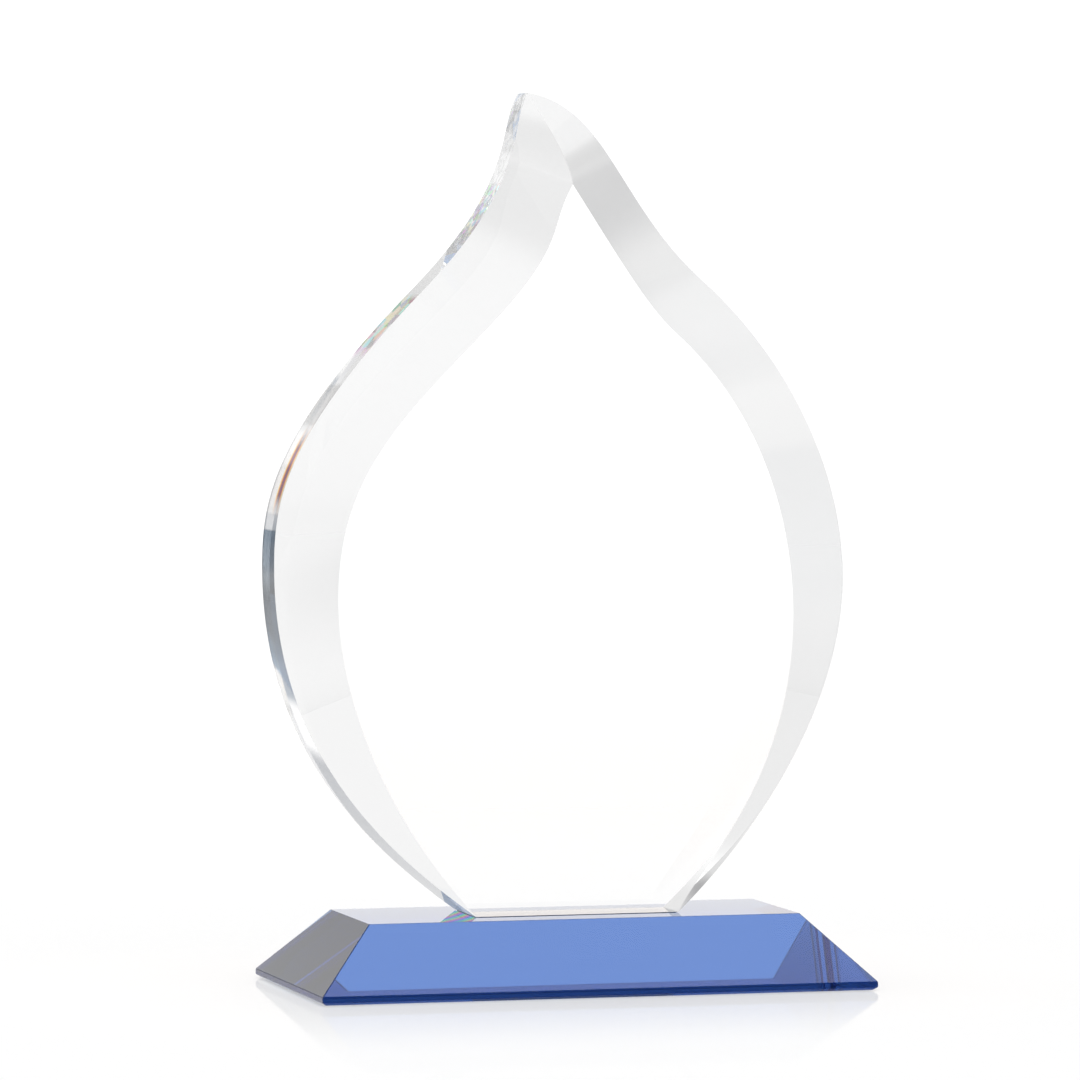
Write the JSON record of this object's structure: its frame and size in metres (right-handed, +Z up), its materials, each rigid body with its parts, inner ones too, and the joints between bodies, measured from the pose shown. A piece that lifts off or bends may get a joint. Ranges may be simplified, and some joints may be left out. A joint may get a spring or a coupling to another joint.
{
  "type": "crystal award",
  "caption": "Free-standing crystal award: a clear flame-shaped panel with a polished one-sided bevel, bonded upright on a sloped cobalt-blue crystal base.",
  "frame": {"origin": "centre of the base block's underside", "axes": "+Z up to the flame's tip, -Y towards the bevelled front face, +X to the viewer's right when looking at the front"},
  "size_m": [0.138, 0.066, 0.2083],
  "materials": {
    "blue_crystal": "polished, cobalt blue right through",
    "clear_adhesive": "clear cured adhesive",
    "clear_crystal": "polished, water clear"
  },
  "bodies": {
    "root": {"base_block": "blue_crystal", "adhesive_film": "clear_adhesive", "flame_panel": "clear_crystal"}
  },
  "joints": []
}
